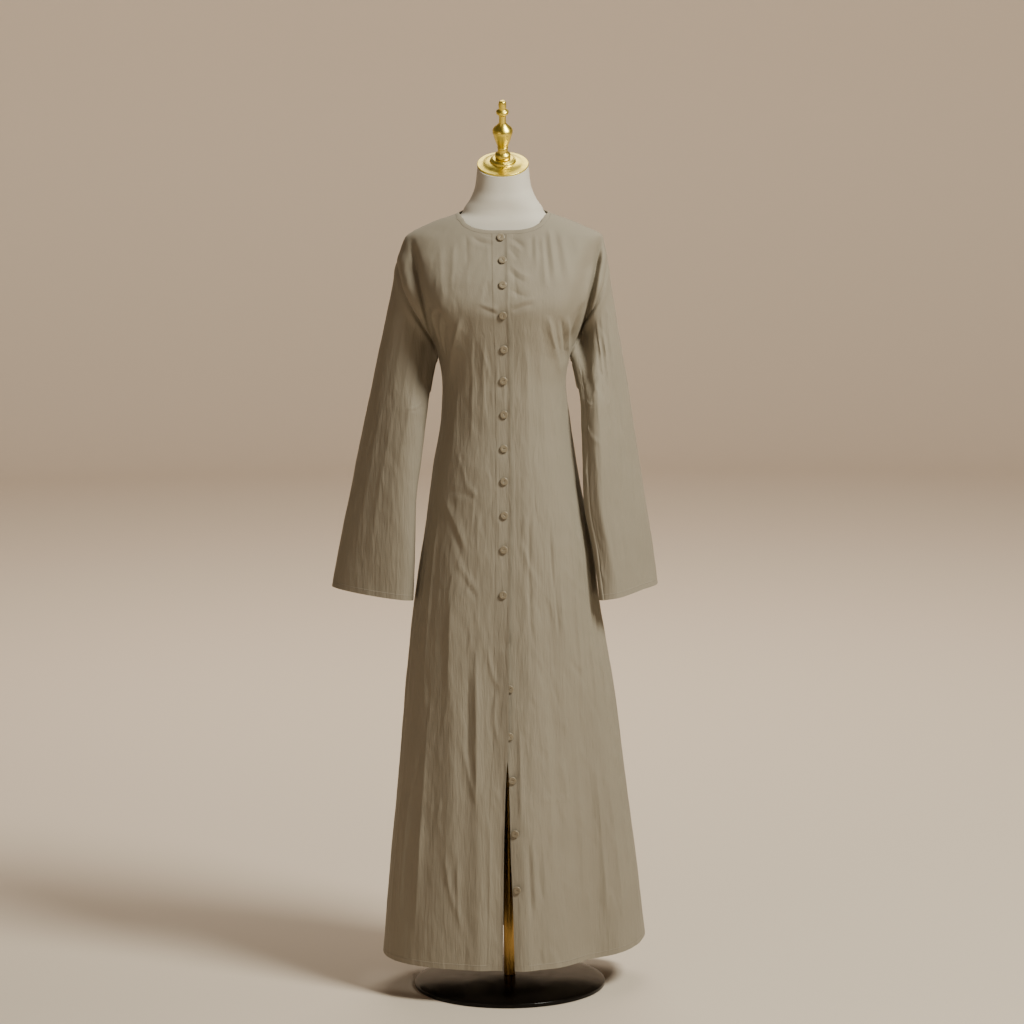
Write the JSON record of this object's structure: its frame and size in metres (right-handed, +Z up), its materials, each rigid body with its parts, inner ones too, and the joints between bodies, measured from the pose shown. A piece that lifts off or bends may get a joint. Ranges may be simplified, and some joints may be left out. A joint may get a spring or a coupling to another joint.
{
  "type": "modest robe on dress form",
  "caption": "Long-sleeved, floor-length robe with a buttoned front and an open hem slit, worn by a limbless dress form on a pole with a round base.",
  "frame": {"origin": "centre of the round base's underside, on the pole's axis", "axes": "+Z up along the pole, +X towards the wearer's left side, and the front with its buttons faces -Y"},
  "size_m": [0.6365, 0.375, 1.7268],
  "materials": {
    "crepe_cloth": "finely crinkled matt crepe, greige",
    "button_resin": "satin, coloured to match the cloth",
    "form_cover": "smooth off-white jersey cover",
    "polished_gold_metal": "polished",
    "black_gloss_paint": "gloss"
  },
  "bodies": {
    "root": {"front_right": "crepe_cloth", "front_left": "crepe_cloth", "back": "crepe_cloth", "sleeve_right": "crepe_cloth", "sleeve_left": "crepe_cloth", "neck_binding": "crepe_cloth", "button_01": "button_resin", "button_02": "button_resin", "button_03": "button_resin", "button_04": "button_resin", "button_05": "button_resin", "button_06": "button_resin", "button_07": "button_resin", "button_08": "button_resin", "button_09": "button_resin", "button_10": "button_resin", "button_11": "button_resin", "button_12": "button_resin", "button_13": "button_resin", "button_14": "button_resin", "button_15": "button_resin", "button_16": "button_resin", "button_17": "button_resin", "button_18": "button_resin", "form_torso": "form_cover", "neck_cap": "polished_gold_metal", "finial": "polished_gold_metal", "stand_pole": "polished_gold_metal", "stand_base": "black_gloss_paint"}
  },
  "joints": []
}
